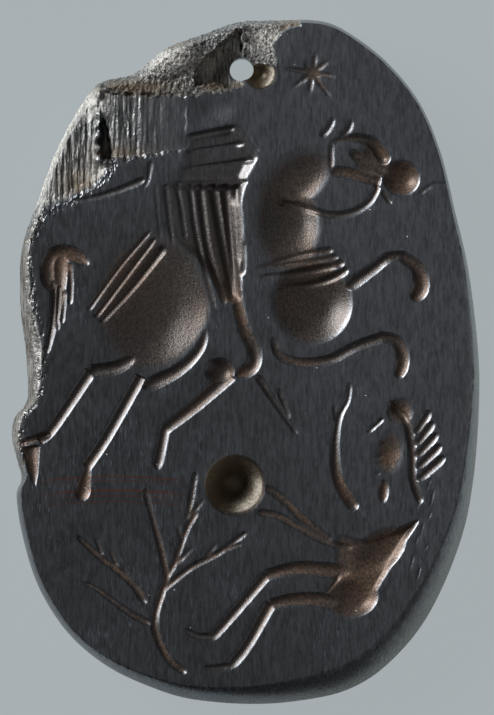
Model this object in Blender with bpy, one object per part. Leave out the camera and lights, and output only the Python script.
"""Engraved haematite amulet.

An oval tablet of dark iron stone, flat on both faces and bevelled round the edge. One face is
cut in intaglio with wheels and ball drills: a rider on a galloping horse above a fallen figure,
with a plant and a star. The upper left shoulder is broken away, a cord hole is drilled through
the top, and a wide blind pit is drilled below the middle.

Metres, +Z up. The stone lies on its plain face, centred on the origin, with its top at +Y.
"""

import math
from collections import namedtuple

import bmesh
import bpy
import numpy as np

# Sizes of the stone
WIDTH = 0.0293
HEIGHT = 0.0429
THICKNESS = 0.0040
EDGE_HEIGHT = 0.0029
BACK_BEVEL = 0.0004

# Drilled holes
CORD_HOLE_RADIUS = 0.00075
CORD_HOLE_START_RADIUS = 0.00106
CORD_HOLE_START_FLOOR_RADIUS = 0.00045
CORD_HOLE_START_DEPTH = 0.0017
PIT_RADIUS = 0.00194
PIT_FLOOR_RADIUS = 0.00070
PIT_DEPTH = 0.0025
DRILL_POINT_HEIGHT = 0.0005

# Fracture of the upper left shoulder
BREAK_WALL = 0.00025
BREAK_WIDE_WALL = 0.00070
LEDGE_DEPTH = 0.00045
OLD_HOLE_HOLLOW = 0.00060
SPLINTERED_DEPTH = 0.00040
OUTER_BLOCK_DEPTH = 0.00080
SHELF_DEPTH = 0.00095
SHELF_MOUND = 0.00045
NOTCH_DEPTH = 0.00110
OLD_HOLE_SCAR = 0.00110
TROUGH_DEPTH = 0.00080
SMOOTH_CHIP_DEPTH = 0.00020
FIBRE_HEIGHT = 0.00003
FIBRE_PITCH = 0.0008

# Cutting wheels: half the width of the groove, and its depth
Wheel = namedtuple("Wheel", "half_width depth")
HAIR_WHEEL = Wheel(0.00013, 0.00009)
LINE_WHEEL = Wheel(0.00018, 0.00013)
CORD_WHEEL = Wheel(0.00024, 0.00016)
SHANK_WHEEL = Wheel(0.00035, 0.00020)
ARM_WHEEL = Wheel(0.00039, 0.00023)
LIMB_WHEEL = Wheel(0.00044, 0.00026)
HOOF_WHEEL = Wheel(0.00053, 0.00031)
TAIL_WHEEL = Wheel(0.00066, 0.00037)
WHEEL_RUN_OUT = 1.8
MERGE_POWER = 3.0
FLOOR_WALL = 0.00045

# The design is laid out on a plan with its corner at the top left. The plan is stretched to the
# stone's own width and height. This is the stone's edge on it: the worn right side and bottom,
# the chipped left side, and the broken shoulder.
WORN_EDGE = (
    (321, 19), (354, 34), (389, 62), (420, 101), (441, 150), (456, 211), (469, 268), (478, 340),
    (480, 398), (474, 480), (460, 545), (428, 617), (388, 665), (347, 691), (297, 702), (247, 705),
    (190, 700), (150, 688), (106, 667), (67, 634), (38, 589), (22, 540), (15, 496), (20, 477),
)
CHIPPED_EDGE = ((11, 442), (13, 418), (26, 399), (25, 357), (19, 300), (21, 245))
BROKEN_EDGE = (
    (37, 197), (54, 151), (76, 109), (98, 81), (132, 72), (164, 47), (205, 31), (236, 20), (263, 18),
)
MIDDLE = (246, 372)

# Width of the bevelled rim in plan steps, against the angle round the stone
RIM_WIDTHS = (
    (0.0, 6.0), (330.0, 14.0), (305.0, 26.0), (285.0, 26.0), (262.0, 15.0), (240.0, 7.0),
    (210.0, 6.0), (190.0, 9.0), (172.0, 18.0), (162.0, 13.0), (150.0, 8.0), (130.0, 7.0),
    (110.0, 9.0), (95.0, 7.0), (80.0, 4.0), (60.0, 3.5), (30.0, 4.0),
)

# Mesh
CELLS_ACROSS = 170
CELLS_UP = 248
CURVE_STEPS = 5
TRIANGLE_BUDGET = 8600
DRILL_SIDES = 40
SHARP_EDGE = math.radians(32.0)

Stroke = namedtuple("Stroke", "wheel points start end joined")
Hollow = namedtuple("Hollow", "centre radii turn depth softness lean")
Floor = namedtuple("Floor", "corners left right wall rounded")


def stroke(wheel, *points, start=1.0, end=1.0, joined=""):
    """A wheel drawn along points of the plan; start and end scale its width there.

    It fades out at both ends, but not where it is joined: at the start, the end, or both.
    """
    return Stroke(wheel, points, start, end, joined)


def hollow(centre, radii, turn, depth, softness, lean=(0.0, 0.0)):
    """A rounded hollow, whose deepest point leans off its middle by shares of its radii."""
    return Hollow(centre, radii, turn, depth, softness, lean)


def floor(corners, left, right, wall=FLOOR_WALL, rounded=False):
    """A sunk area that slants from its left side to its right, with a wall of that width."""
    return Floor(corners, left, right, wall, rounded)


def between(first, last, share):
    """The point at a share of the way from first to last."""
    return (first[0] + (last[0] - first[0]) * share, first[1] + (last[1] - first[1]) * share)


def star():
    """Eight rays round a common middle."""
    middle = (312.4, 71.7)
    first_angle = 81.0
    lengths = (21.0, 21.0, 24.0, 30.0, 22.0, 25.0, 27.0, 16.0)
    rays = []
    for index, reach in enumerate(lengths):
        angle = math.radians(first_angle - index * 360.0 / len(lengths))
        tip = (middle[0] + reach * math.cos(angle), middle[1] - reach * math.sin(angle))
        rays.append(stroke(CORD_WHEEL, middle, tip, start=1.0, end=0.5, joined="start"))
    return rays


def horse_head():
    """Ears, brow, cheek strap, eye, jaw, bit and rein."""
    return [
        stroke(CORD_WHEEL, (320, 136), (328, 128), (334, 116), end=0.8),
        stroke(CORD_WHEEL, (340, 136), (348, 129), (352, 118), end=0.8),
        stroke(CORD_WHEEL, (331, 142), (345, 138), (361, 138), (375, 144), (387, 162), start=0.8, end=2.0),
        stroke(LINE_WHEEL, (331, 142), (331, 168)),
        stroke(SHANK_WHEEL, (350, 150), (368, 162), (390, 172), end=1.4),
        stroke(ARM_WHEEL, (330, 170), (352, 173), (380, 181), start=0.9, joined="end"),
        stroke(LINE_WHEEL, (382, 190), (391, 203)),
        stroke(LIMB_WHEEL, (372, 165), (396, 175), start=0.7, joined="end"),
        stroke(
            CORD_WHEEL, (279, 202), (301, 206), (329, 214), (351, 212), (369, 201), (378, 185),
            joined="end",
        ),
    ]


def horse_straps():
    """Girth bands that fan out from the rider's knee, straps on the haunch, line of the rump."""
    knee = (255, 268)
    bands = [
        stroke(CORD_WHEEL, knee, (295, 256), (333, 249), start=0.4, end=1.1),
        stroke(CORD_WHEEL, knee, (300, 262), (338, 256), start=0.5, end=1.1),
        stroke(CORD_WHEEL, (258, 277), (304, 271), (344, 262), start=0.6, end=1.3),
        stroke(CORD_WHEEL, (277, 287), (310, 284), (333, 277), (348, 268), start=0.6, end=1.2),
    ]
    haunch = [
        stroke(CORD_WHEEL, (87, 310), (118, 267), (150, 230), start=0.8, end=0.6),
        stroke(CORD_WHEEL, (94, 317), (124, 277), (155, 237), end=0.7),
        stroke(CORD_WHEEL, (99, 322), (131, 287), (164, 246), end=1.3),
    ]
    rump = [
        stroke(CORD_WHEEL, (70, 200), (92, 197), (118, 189), (145, 178), start=0.6),
        stroke(LINE_WHEEL, (150, 160), (148, 177), (143, 188), end=0.6),
    ]
    return bands + haunch + rump


def horse_tail():
    """A hooked dock that hangs down in loose strands."""
    dock = [
        stroke(TAIL_WHEEL, (88, 263), (73, 254), (57, 253), (48, 264), (50, 290), start=0.7, end=0.9),
        stroke(TAIL_WHEEL, (60, 250), (57, 296), (48, 352), end=0.15),
    ]
    strands = [
        stroke(LINE_WHEEL, (53, 280), (51, 316), (46, 352)),
        stroke(LINE_WHEEL, (69, 262), (70, 284), (69, 304)),
        stroke(LINE_WHEEL, (64, 290), (61, 323)),
        stroke(HAIR_WHEEL, (59, 285), (57, 330)),
    ]
    return dock + strands


def horse_legs():
    """Two hind legs, the bent foreleg behind the rider's foot, and the two flung forward."""
    return [
        stroke(LIMB_WHEEL, (137, 355), (115, 367), (90, 371), joined="end"),
        stroke(SHANK_WHEEL, (90, 371), (52, 427), (38, 440), start=1.1, joined="both"),
        stroke(CORD_WHEEL, (50, 434), (14, 445)),
        stroke(HOOF_WHEEL, (30, 446), (34, 486), start=1.1, end=0.3, joined="start"),
        stroke(TAIL_WHEEL, (206, 329), (198, 350), (177, 370), (143, 387), start=0.4, end=0.8),
        stroke(SHANK_WHEEL, (140, 376), (106, 436), (86, 466), start=1.1, joined="both"),
        stroke(HOOF_WHEEL, (88, 462), (80, 500), start=0.3, end=1.2, joined="start"),
        stroke(LIMB_WHEEL, (230, 374), (195, 405), (163, 430), start=1.1, end=0.8, joined="both"),
        stroke(SHANK_WHEEL, (164, 428), (156, 469), joined="start"),
        stroke(LIMB_WHEEL, (345, 288), (373, 268), (388, 257), (406, 255), end=0.7, joined="end"),
        stroke(
            HOOF_WHEEL, (402, 255), (418, 268), (421, 286), (413, 300),
            start=0.7, end=1.1, joined="start",
        ),
        stroke(
            ARM_WHEEL, (272, 337), (280, 355), (301, 362), (329, 359), (355, 346), (384, 336),
            start=0.7, end=0.9, joined="end",
        ),
        stroke(LIMB_WHEEL, (381, 336), (397, 341), (403, 358), (398, 378), start=0.8, joined="start"),
    ]


def rider():
    """Ribbed body, folded tunic, leg, foot and spear."""
    ribs = [
        stroke(LINE_WHEEL, (186, 136), (236, 126), start=0.9),
        stroke(LINE_WHEEL, (186, 151), (245, 142), start=0.6),
        stroke(LINE_WHEEL, (182, 168), (254, 159), start=0.5, end=1.2),
        stroke(LINE_WHEEL, (174, 182), (247, 181), start=0.6, end=1.1),
        stroke(LINE_WHEEL, (234, 125), (256, 158)),
        stroke(HAIR_WHEEL, (240, 124), (258, 151)),
    ]
    folds = [
        stroke(CORD_WHEEL, *points, start=0.9 * size, end=0.8 * size, joined="start")
        for size, *points in (
            (0.5, (155, 184), (157, 210), (160, 238)),
            (0.6, (165, 184), (168, 212), (172, 243)),
            (0.7, (176, 184), (181, 210), (185, 239)),
            (0.8, (189, 184), (197, 240), (215, 309)),
            (1.1, (199, 184), (208, 250), (225, 304)),
            (1.4, (212, 184), (222, 240), (233, 296)),
            (1.4, (224, 184), (231, 250), (238, 300)),
            (1.0, (236, 184), (240, 226), (240, 262)),
        )
    ]
    limbs = [
        stroke(
            HOOF_WHEEL, (232, 272), (237, 300), (244, 328), (254, 350), (252, 366), (236, 375),
            start=0.6, end=0.9, joined="start",
        ),
        stroke(LINE_WHEEL, (243, 241), (243, 268), (239, 275)),
    ]
    spear = [
        stroke(CORD_WHEEL, (257, 375), (275, 402), (297, 434), start=1.1, end=0.7),
        stroke(CORD_WHEEL, (278, 388), (289, 418), start=0.8, end=0.8),
    ]
    return ribs + folds + limbs + spear


def fallen_figure():
    """Arms, legs, neck, and hair that stands out in rays behind the head."""
    arms = [
        stroke(
            CORD_WHEEL, (350, 382), (347, 400), (339, 416), (335, 441), (336, 470), (342, 488), (356, 509),
            start=0.7, end=1.7,
        ),
        stroke(HAIR_WHEEL, (334, 404), (336, 424), joined="end"),
        stroke(CORD_WHEEL, (264, 486), (283, 499), (303, 519), (332, 542), end=1.1),
        stroke(CORD_WHEEL, (257, 512), (278, 516), (300, 528), (324, 541), (360, 548), end=1.5),
    ]
    legs = [
        stroke(HOOF_WHEEL, (352, 573), (300, 568), (266, 575), end=0.65, joined="end"),
        stroke(SHANK_WHEEL, (266, 575), (222, 626), (208, 640), start=1.0, end=0.9, joined="start"),
        stroke(SHANK_WHEEL, (211, 637), (196, 636), (183, 629), start=0.7, end=0.5, joined="start"),
        stroke(HOOF_WHEEL, (352, 603), (304, 599), (270, 604), end=0.65, joined="end"),
        stroke(SHANK_WHEEL, (270, 604), (246, 646), (228, 668), start=1.1, joined="start"),
        stroke(SHANK_WHEEL, (230, 666), (216, 668), (203, 668), start=0.7, end=0.5, joined="start"),
        stroke(LINE_WHEEL, (340, 575), (326, 592)),
    ]
    head = [
        stroke(ARM_WHEEL, (384, 480), (383, 503), end=0.7),
        stroke(LIMB_WHEEL, (390, 401), (404, 420), start=0.7, end=0.8),
        stroke(CORD_WHEEL, (391, 403), (406, 420), (412, 446), (413, 478), (421, 503), start=1.2, end=1.1),
        stroke(LINE_WHEEL, (367, 432), (383, 418)),
    ]
    hair = [
        stroke(
            SHANK_WHEEL, between((415, 434), (417, 480), share),
            between((430, 410), (445, 456), share), start=0.9, end=0.9,
        )
        for share in (0.0, 0.25, 0.5, 0.75, 1.0)
    ]
    return arms + legs + head + hair


def plant():
    """A forked stem with feathered leaves."""
    stems = [
        stroke(
            LINE_WHEEL, (185, 673), (166, 656), (154, 623), (162, 590), (166, 577), (161, 550), (144, 489),
            start=1.5,
        ),
        stroke(LINE_WHEEL, (166, 577), (175, 561), (186, 530), (197, 511), joined="start"),
        stroke(LINE_WHEEL, (186, 520), (191, 498), (195, 472)),
        stroke(LINE_WHEEL, (162, 590), (190, 568), (218, 553), (246, 532), joined="start"),
        stroke(LINE_WHEEL, (145, 603), (129, 581), (96, 554), (77, 536), start=1.3),
        stroke(LINE_WHEEL, (150, 624), (129, 613), (96, 589), (82, 583), start=1.3, end=0.7),
    ]
    leaves = [
        stroke(LINE_WHEEL, root, tip, start=0.9, end=0.6)
        for root, tip in (
            ((176, 564), (192, 547)), ((182, 541), (176, 524)), ((190, 516), (204, 498)),
            ((224, 550), (242, 543)), ((205, 559), (216, 543)), ((117, 567), (109, 549)),
            ((102, 555), (94, 536)), ((131, 583), (122, 565)), ((144, 598), (136, 582)),
        )
    ]
    return stems + leaves


def hollows():
    """The rounded masses: place, radii and turn on the plan, depth, softness and lean."""
    return [
        hollow((149, 299), (62, 80), -8, 0.00070, 1.9, (0.32, -0.20)),
        hollow((186, 312), (25, 46), -14, 0.00032, 1.6, (0.20, -0.1)),
        hollow((311, 302), (42, 43), 0, 0.00080, 1.15, (0.32, -0.10)),
        hollow((284, 226), (38, 52), 0, 0.00055, 1.8, (0.40, 0.20)),
        hollow((292, 180), (50, 28), 38, 0.00038, 1.4, (0.05, -0.35)),
        hollow((372, 160), (18, 20), 0, 0.00025, 1.2),
        hollow((401, 177), (19, 18), 0, 0.00060, 1.0, (0.25, -0.1)),
        hollow((219, 371), (15, 14), 0, 0.00050, 1.0, (0.3, 0.0)),
        hollow((378, 552), (34, 20), 40, 0.00050, 1.2, (0.1, -0.4)),
        hollow((352, 597), (27, 21), 10, 0.00055, 1.2, (0.3, -0.3)),
        hollow((390, 452), (15, 26), -8, 0.00022, 1.5),
        hollow((400, 411), (14, 14), 0, 0.00025, 1.2),
    ]


def floors():
    """Sunk areas with a level or slanting floor: the rider's body, the tunic, the fallen body."""
    return [
        floor(
            ((184, 131), (234, 122), (259, 158), (244, 186), (170, 186), (180, 158)),
            0.00002, 0.00055, wall=0.00080,
        ),
        floor(
            (
                (152, 178), (249, 178), (241, 206), (243, 250), (243, 284), (240, 308), (226, 304),
                (196, 262), (158, 236),
            ),
            0.00002, 0.00060, wall=0.00075,
        ),
        floor(
            (
                (336, 534), (364, 538), (391, 530), (420, 519), (403, 548), (392, 568), (382, 584),
                (369, 607), (354, 619), (331, 617), (322, 600), (332, 574),
            ),
            0.00003, 0.00045, rounded=True,
        ),
    ]


def strokes():
    """Every wheel stroke of the engraving."""
    groups = (star(), horse_head(), horse_straps(), horse_tail(), horse_legs())
    groups += (rider(), fallen_figure(), plant())
    return [one for group in groups for one in group]


def catmull_rom(knots):
    """A smooth curve from the second knot to the last but one."""
    curve = []
    for a, b, c, d in zip(knots[:-3], knots[1:-2], knots[2:-1], knots[3:]):
        for share in np.arange(CURVE_STEPS) / CURVE_STEPS:
            straight = b + share * (c - a) / 2
            bent = share ** 2 * (2 * a - 5 * b + 4 * c - d) / 2 + share ** 3 * (3 * b - a - 3 * c + d) / 2
            curve.append(straight + bent)
    curve.append(knots[-2])
    return np.array(curve)


def stone_edge():
    """The closed edge of the stone on the plan."""
    knots = np.array(WORN_EDGE + CHIPPED_EDGE + BROKEN_EDGE, dtype=float)
    return catmull_rom(np.vstack([knots[-1:], knots, knots[:2]]))[:-1]


EDGE = stone_edge()
PLAN_LOW = EDGE.min(axis=0)
PLAN_HIGH = EDGE.max(axis=0)
PLAN_STEP = WIDTH / (PLAN_HIGH[0] - PLAN_LOW[0])


def to_stone(points):
    """Plan places to metres on the stone."""
    shares = (np.atleast_2d(np.asarray(points, dtype=float)) - PLAN_LOW) / (PLAN_HIGH - PLAN_LOW)
    return (shares - 0.5) * (WIDTH, -HEIGHT)


def outline_reach(angles):
    """Plan distance from the middle to the stone's edge."""
    right, down = (EDGE - MIDDLE).T
    return np.interp(angles, np.arctan2(-down, right), np.hypot(right, down), period=math.tau)


def rim_width(angles):
    """Plan width of the bevelled rim at each angle."""
    table = sorted(RIM_WIDTHS)
    turns, widths = zip(*table)
    return np.interp(np.degrees(angles) % 360.0, turns, widths, period=360.0)


def smooth_path(points):
    """A curve through the given plan points, in metres."""
    knots = to_stone(points)
    if len(knots) == 2:
        return knots
    return catmull_rom(np.vstack([2 * knots[0] - knots[1], knots, 2 * knots[-1] - knots[-2]]))


def stroke_depth(spots, one):
    """Depth that one wheel stroke cuts at each spot."""
    path = smooth_path(one.points)
    lengths = np.linalg.norm(np.diff(path, axis=0), axis=1)
    along = np.concatenate([[0.0], np.cumsum(lengths)]) / lengths.sum()
    depth = np.zeros(len(spots))
    margin = one.wheel.half_width * max(one.start, one.end)
    low = path.min(axis=0) - margin
    high = path.max(axis=0) + margin
    near = np.nonzero(np.all((spots > low) & (spots < high), axis=1))[0]
    distance = np.full(len(near), np.inf)
    share = np.zeros(len(near))
    for index, length in enumerate(lengths):
        step = (path[index + 1] - path[index]) / length
        offset = spots[near] - path[index]
        run = np.clip(offset @ step, 0.0, length)
        gap = np.linalg.norm(offset - run[:, None] * step, axis=1)
        closer = gap < distance
        distance[closer] = gap[closer]
        share[closer] = along[index] + (along[index + 1] - along[index]) * run[closer] / length
    ends = zip((share, 1.0 - share), ("start", "end"))
    free = [end for end, side in ends if one.joined not in (side, "both")]
    run_out = WHEEL_RUN_OUT * one.wheel.half_width / lengths.sum()
    to_end = np.clip(np.minimum.reduce(free + [np.full(len(near), run_out)]) / run_out, 0.0, 1.0)
    fade = np.clip(np.sqrt(1.0 - (1.0 - to_end) ** 2), 0.35, 1.0)
    scale = (one.start + (one.end - one.start) * share) * fade
    part = np.clip(1.0 - (distance / (one.wheel.half_width * scale)) ** 2, 0.0, None)
    depth[near] = one.wheel.depth * scale * part
    return depth


def hollow_depth(spots, one):
    """Depth of one rounded hollow at each spot."""
    middle = to_stone(one.centre)[0]
    turn = math.radians(one.turn)
    offset = (spots - middle) / PLAN_STEP
    across = (offset[:, 0] * math.cos(turn) + offset[:, 1] * math.sin(turn)) / one.radii[0] - one.lean[0]
    up = (offset[:, 1] * math.cos(turn) - offset[:, 0] * math.sin(turn)) / one.radii[1] - one.lean[1]
    size = across ** 2 + up ** 2
    lean = one.lean[0] * across + one.lean[1] * up
    reach = np.sqrt(lean ** 2 + size * (1.0 - one.lean[0] ** 2 - one.lean[1] ** 2)) - lean
    share = size / np.maximum(reach, 1e-9)
    return one.depth * np.clip(1.0 - share ** 2, 0.0, None) ** one.softness


def floor_depth(spots, one):
    """Depth of one sunk area, which slants evenly from its left side to its right."""
    across = to_stone(one.corners)[:, 0]
    share = np.clip((spots[:, 0] - across.min()) / np.ptp(across), 0.0, 1.0)
    depth = one.left + (one.right - one.left) * share
    return depth * ramp(inside_distance(spots, one.corners, one.rounded), one.wall)


def carving_depth(spots):
    """Depth of the engraving: masses flow together, and limbs and grooves are cut into them."""
    masses = np.zeros(len(spots))
    for one in hollows():
        masses += hollow_depth(spots, one) ** MERGE_POWER
    for one in floors():
        masses += floor_depth(spots, one) ** MERGE_POWER
    masses **= 1.0 / MERGE_POWER
    limbs = np.zeros(len(spots))
    grooves = np.zeros(len(spots))
    for one in strokes():
        if one.wheel.half_width < SHANK_WHEEL.half_width:
            grooves = np.maximum(grooves, stroke_depth(spots, one))
        else:
            limbs = np.maximum(limbs, stroke_depth(spots, one))
    return np.maximum(masses, limbs) + grooves


def inside_distance(spots, corners, rounded=False):
    """Distance inside a plan polygon, in metres; negative outside it, down to the polygon's box."""
    ring = to_stone(corners)
    if rounded:
        ring = catmull_rom(np.vstack([ring[-1:], ring, ring[:2]]))[:-1]
    margin = 0.001
    close = np.all((spots > ring.min(axis=0) - margin) & (spots < ring.max(axis=0) + margin), axis=1)
    near = spots[close]
    nearest = np.full(len(near), np.inf)
    inside = np.zeros(len(near), dtype=bool)
    for a, b in zip(ring, np.roll(ring, -1, axis=0)):
        side = b - a
        offset = near - a
        run = np.clip(offset @ side / (side @ side), 0.0, 1.0)
        nearest = np.minimum(nearest, np.linalg.norm(offset - run[:, None] * side, axis=1))
        crosses = (a[1] > near[:, 1]) != (b[1] > near[:, 1])
        rise = np.where(crosses, side[1], 1.0)
        inside ^= crosses & (offset[:, 0] < side[0] * offset[:, 1] / rise)
    distance = np.full(len(spots), -margin)
    distance[close] = np.where(inside, nearest, -nearest)
    return distance


def ramp(distance, width):
    """A wall that falls smoothly from 0 to 1 over a width."""
    share = np.clip(distance / width, 0.0, 1.0)
    return share * share * (3.0 - 2.0 * share)


def fibres(spots):
    """Upright splinters of the broken stone: ridges across, drawn out along the height."""
    across = spots[:, 0] / FIBRE_PITCH * math.tau
    drift = spots[:, 1] / FIBRE_PITCH
    broad = np.sin(0.43 * across + 0.6 * np.sin(0.7 * drift))
    ridges = np.sin(across + 1.3 * broad + 0.3 * drift) + 0.6 * np.sin(2.3 * across + 1.1 - 0.5 * drift)
    return FIBRE_HEIGHT * (ridges + broad)


def scars():
    """Areas of the fracture; where they overlap, their depths add up."""
    beyond = -40
    return [
        floor(
            ((97, 84), (111, 89), (146, 91), (188, 91), (188, 150), (147, 157), (116, 160), (97, 162)),
            SPLINTERED_DEPTH, SPLINTERED_DEPTH / 8, BREAK_WALL,
        ),
        floor(
            (
                (beyond, 240), (25, 240), (45, 211), (74, 199), (96, 187), (115, 164), (102, 160),
                (102, 84), (60, 60), (beyond, 60),
            ),
            OUTER_BLOCK_DEPTH, OUTER_BLOCK_DEPTH * 0.7, BREAK_WIDE_WALL,
        ),
        floor(
            (
                (60, 50), (99, 86), (111, 93), (146, 96), (181, 97), (231, 91), (244, 60),
                (244, beyond), (60, beyond),
            ),
            SHELF_DEPTH, SHELF_DEPTH * 0.8, BREAK_WALL,
        ),
        floor(
            ((99, 70), (99, 110), (88, 122), (70, 128), (52, 152), (36, 186), (beyond, 186), (beyond, 70)),
            LEDGE_DEPTH, LEDGE_DEPTH, BREAK_WIDE_WALL,
        ),
        floor(
            ((99, 110), (97, 159), (113, 160), (111, 138), (105, 120)),
            NOTCH_DEPTH, NOTCH_DEPTH, BREAK_WALL,
        ),
        floor(
            ((193, 63), (238, 26), (244, 24), (244, 84), (232, 89), (222, 84), (193, 86)),
            OLD_HOLE_SCAR * 0.5, OLD_HOLE_SCAR, BREAK_WALL,
        ),
        floor(
            ((240, beyond), (312, beyond), (300, 24), (284, 30), (275, 42), (277, 66), (240, 66)),
            TROUGH_DEPTH, TROUGH_DEPTH, BREAK_WALL,
        ),
    ]


def break_depth(spots):
    """Depth of the fracture at the upper left, with its splinters, mound, chip and old hole."""
    depth = np.zeros(len(spots))
    for one in scars():
        depth += floor_depth(spots, one)
    broken = ramp(depth, SPLINTERED_DEPTH)
    mound = hollow_depth(spots, hollow((176, 54), (32, 20), 36, SHELF_MOUND, 1.0))
    chip = hollow_depth(spots, hollow((210, 108), (28, 18), 0, SMOOTH_CHIP_DEPTH, 1.5))
    old_hole = hollow_depth(spots, hollow((224, 68), (22, 22), 0, OLD_HOLE_HOLLOW, 1.0))
    return depth + broken * (fibres(spots) - mound) + chip + old_hole


def rim_drop(shares, angles):
    """Fall of the bevelled rim, from the flat face down to the side wall."""
    from_edge = (1.0 - shares) * outline_reach(angles)
    part = np.clip(1.0 - from_edge / rim_width(angles), 0.0, 1.0)
    return (THICKNESS - EDGE_HEIGHT) * (0.4 * part + 0.6 * part ** 2)


def place_front(grid):
    """Bend a square grid into the stone's outline and lower it to the carved face."""
    count = len(grid.vertices)
    points = np.empty(count * 3)
    grid.vertices.foreach_get("co", points)
    points = points.reshape(count, 3)
    right = points[:, 0] * np.sqrt(1.0 - points[:, 1] ** 2 / 2)
    up = points[:, 1] * np.sqrt(1.0 - points[:, 0] ** 2 / 2)
    shares = np.hypot(right, up)
    angles = np.arctan2(up, right)
    reach = shares * outline_reach(angles)
    spots = to_stone(MIDDLE + reach[:, None] * np.stack([np.cos(angles), -np.sin(angles)], axis=1))
    drop = np.maximum(rim_drop(shares, angles), 0.0)
    depth = drop + break_depth(spots) + carving_depth(spots) * (1.0 - drop / THICKNESS)
    points[:, :2] = spots
    points[:, 2] = np.maximum(THICKNESS - depth, THICKNESS / 4)
    grid.vertices.foreach_set("co", points.ravel())


def close_behind(mesh):
    """Drop a side wall from the front's border and close it with the plain back face."""
    bm = bmesh.new()
    bm.from_mesh(mesh)
    for inset, level in ((0.0, BACK_BEVEL), (BACK_BEVEL, 0.0)):
        border = [edge for edge in bm.edges if edge.is_boundary]
        made = bmesh.ops.extrude_edge_only(bm, edges=border)
        for vertex in (item for item in made["geom"] if isinstance(item, bmesh.types.BMVert)):
            vertex.co.x *= 1.0 - inset / (WIDTH / 2)
            vertex.co.y *= 1.0 - inset / (HEIGHT / 2)
            vertex.co.z = level
    bmesh.ops.contextual_create(bm, geom=[edge for edge in bm.edges if edge.is_boundary])
    bmesh.ops.recalc_face_normals(bm, faces=bm.faces)
    bm.to_mesh(mesh)
    bm.free()


def finished_mesh(item):
    """The object's shape with its modifiers worked out."""
    bpy.context.view_layer.update()
    evaluated = item.evaluated_get(bpy.context.evaluated_depsgraph_get())
    return bpy.data.meshes.new_from_object(evaluated)


def thin_out(stone):
    """Spend few triangles on plain stretches and most on the carving."""
    stone.data.calc_loop_triangles()
    thinner = stone.modifiers.new("thin out", "DECIMATE")
    thinner.ratio = TRIANGLE_BUDGET / len(stone.data.loop_triangles)
    stone.data = finished_mesh(stone)
    stone.modifiers.remove(thinner)
    for vertex in stone.data.vertices:
        vertex.co.z = min(vertex.co.z, THICKNESS) if vertex.co.z > BACK_BEVEL / 4 else 0.0


def haematite():
    """Dark, polished iron stone."""
    material = bpy.data.materials.new("haematite")
    material.use_nodes = True
    shader = material.node_tree.nodes["Principled BSDF"]
    shader.inputs["Base Color"].default_value = (0.035, 0.037, 0.043, 1.0)
    shader.inputs["Metallic"].default_value = 0.35
    shader.inputs["Roughness"].default_value = 0.32
    return material


def stone_body(collection):
    """The carved tablet, before its holes are drilled."""
    mesh = bpy.data.meshes.new("engraved_stone")
    bm = bmesh.new()
    bmesh.ops.create_grid(bm, x_segments=CELLS_ACROSS, y_segments=CELLS_UP, size=1.0)
    bm.to_mesh(mesh)
    bm.free()
    place_front(mesh)
    close_behind(mesh)
    stone = bpy.data.objects.new("engraved_stone", mesh)
    collection.objects.link(stone)
    thin_out(stone)
    stone.data.materials.append(haematite())
    stone.data.shade_smooth()
    stone.data.set_sharp_from_angle(angle=SHARP_EDGE)
    return stone


def drill(name, centre, radius, depth, collection, floor_radius=None):
    """A cutter that stands in the front face: a round or tapered shank over a pointed end."""
    x, y = to_stone(centre)[0]
    foot = floor_radius or radius
    shank_bottom = THICKNESS - depth + DRILL_POINT_HEIGHT
    above = THICKNESS / 2
    widening = (radius - foot) * above / (THICKNESS - shank_bottom)
    bm = bmesh.new()
    shank = bmesh.ops.create_cone(
        bm, cap_ends=True, segments=DRILL_SIDES, radius1=foot, radius2=radius + widening,
        depth=THICKNESS + above - shank_bottom,
    )
    bmesh.ops.translate(bm, verts=shank["verts"], vec=(x, y, (THICKNESS + above + shank_bottom) / 2))
    lowest = shank_bottom + DRILL_POINT_HEIGHT / 10
    under = [face for face in bm.faces if face.calc_center_median().z < lowest]
    point = bmesh.ops.poke(bm, faces=under)
    for vertex in point["verts"]:
        vertex.co.z -= DRILL_POINT_HEIGHT
    bmesh.ops.recalc_face_normals(bm, faces=bm.faces)
    mesh = bpy.data.meshes.new(name)
    bm.to_mesh(mesh)
    bm.free()
    cutter = bpy.data.objects.new(name, mesh)
    collection.objects.link(cutter)
    cutter.hide_render = True
    cutter.display_type = "WIRE"
    return cutter


def drill_holes(stone, collection):
    """The cord hole and its wider start, and the blind pit."""
    drills = (
        drill("cord hole", (241.3, 67.3), CORD_HOLE_RADIUS, 2 * THICKNESS, collection),
        drill(
            "cord hole start", (260, 72), CORD_HOLE_START_RADIUS, CORD_HOLE_START_DEPTH, collection,
            CORD_HOLE_START_FLOOR_RADIUS,
        ),
        drill("pit", (234.7, 485), PIT_RADIUS, PIT_DEPTH, collection, PIT_FLOOR_RADIUS),
    )
    for cutter in drills:
        cut = stone.modifiers.new(cutter.name, "BOOLEAN")
        cut.operation = "DIFFERENCE"
        cut.solver = "EXACT"
        cut.object = cutter


def new_collection(name):
    collection = bpy.data.collections.new(name)
    bpy.context.scene.collection.children.link(collection)
    return collection


def main():
    for item in list(bpy.data.objects):
        bpy.data.objects.remove(item, do_unlink=True)
    stone = stone_body(new_collection("engraved_gem"))
    drill_holes(stone, new_collection("cutters"))


main()
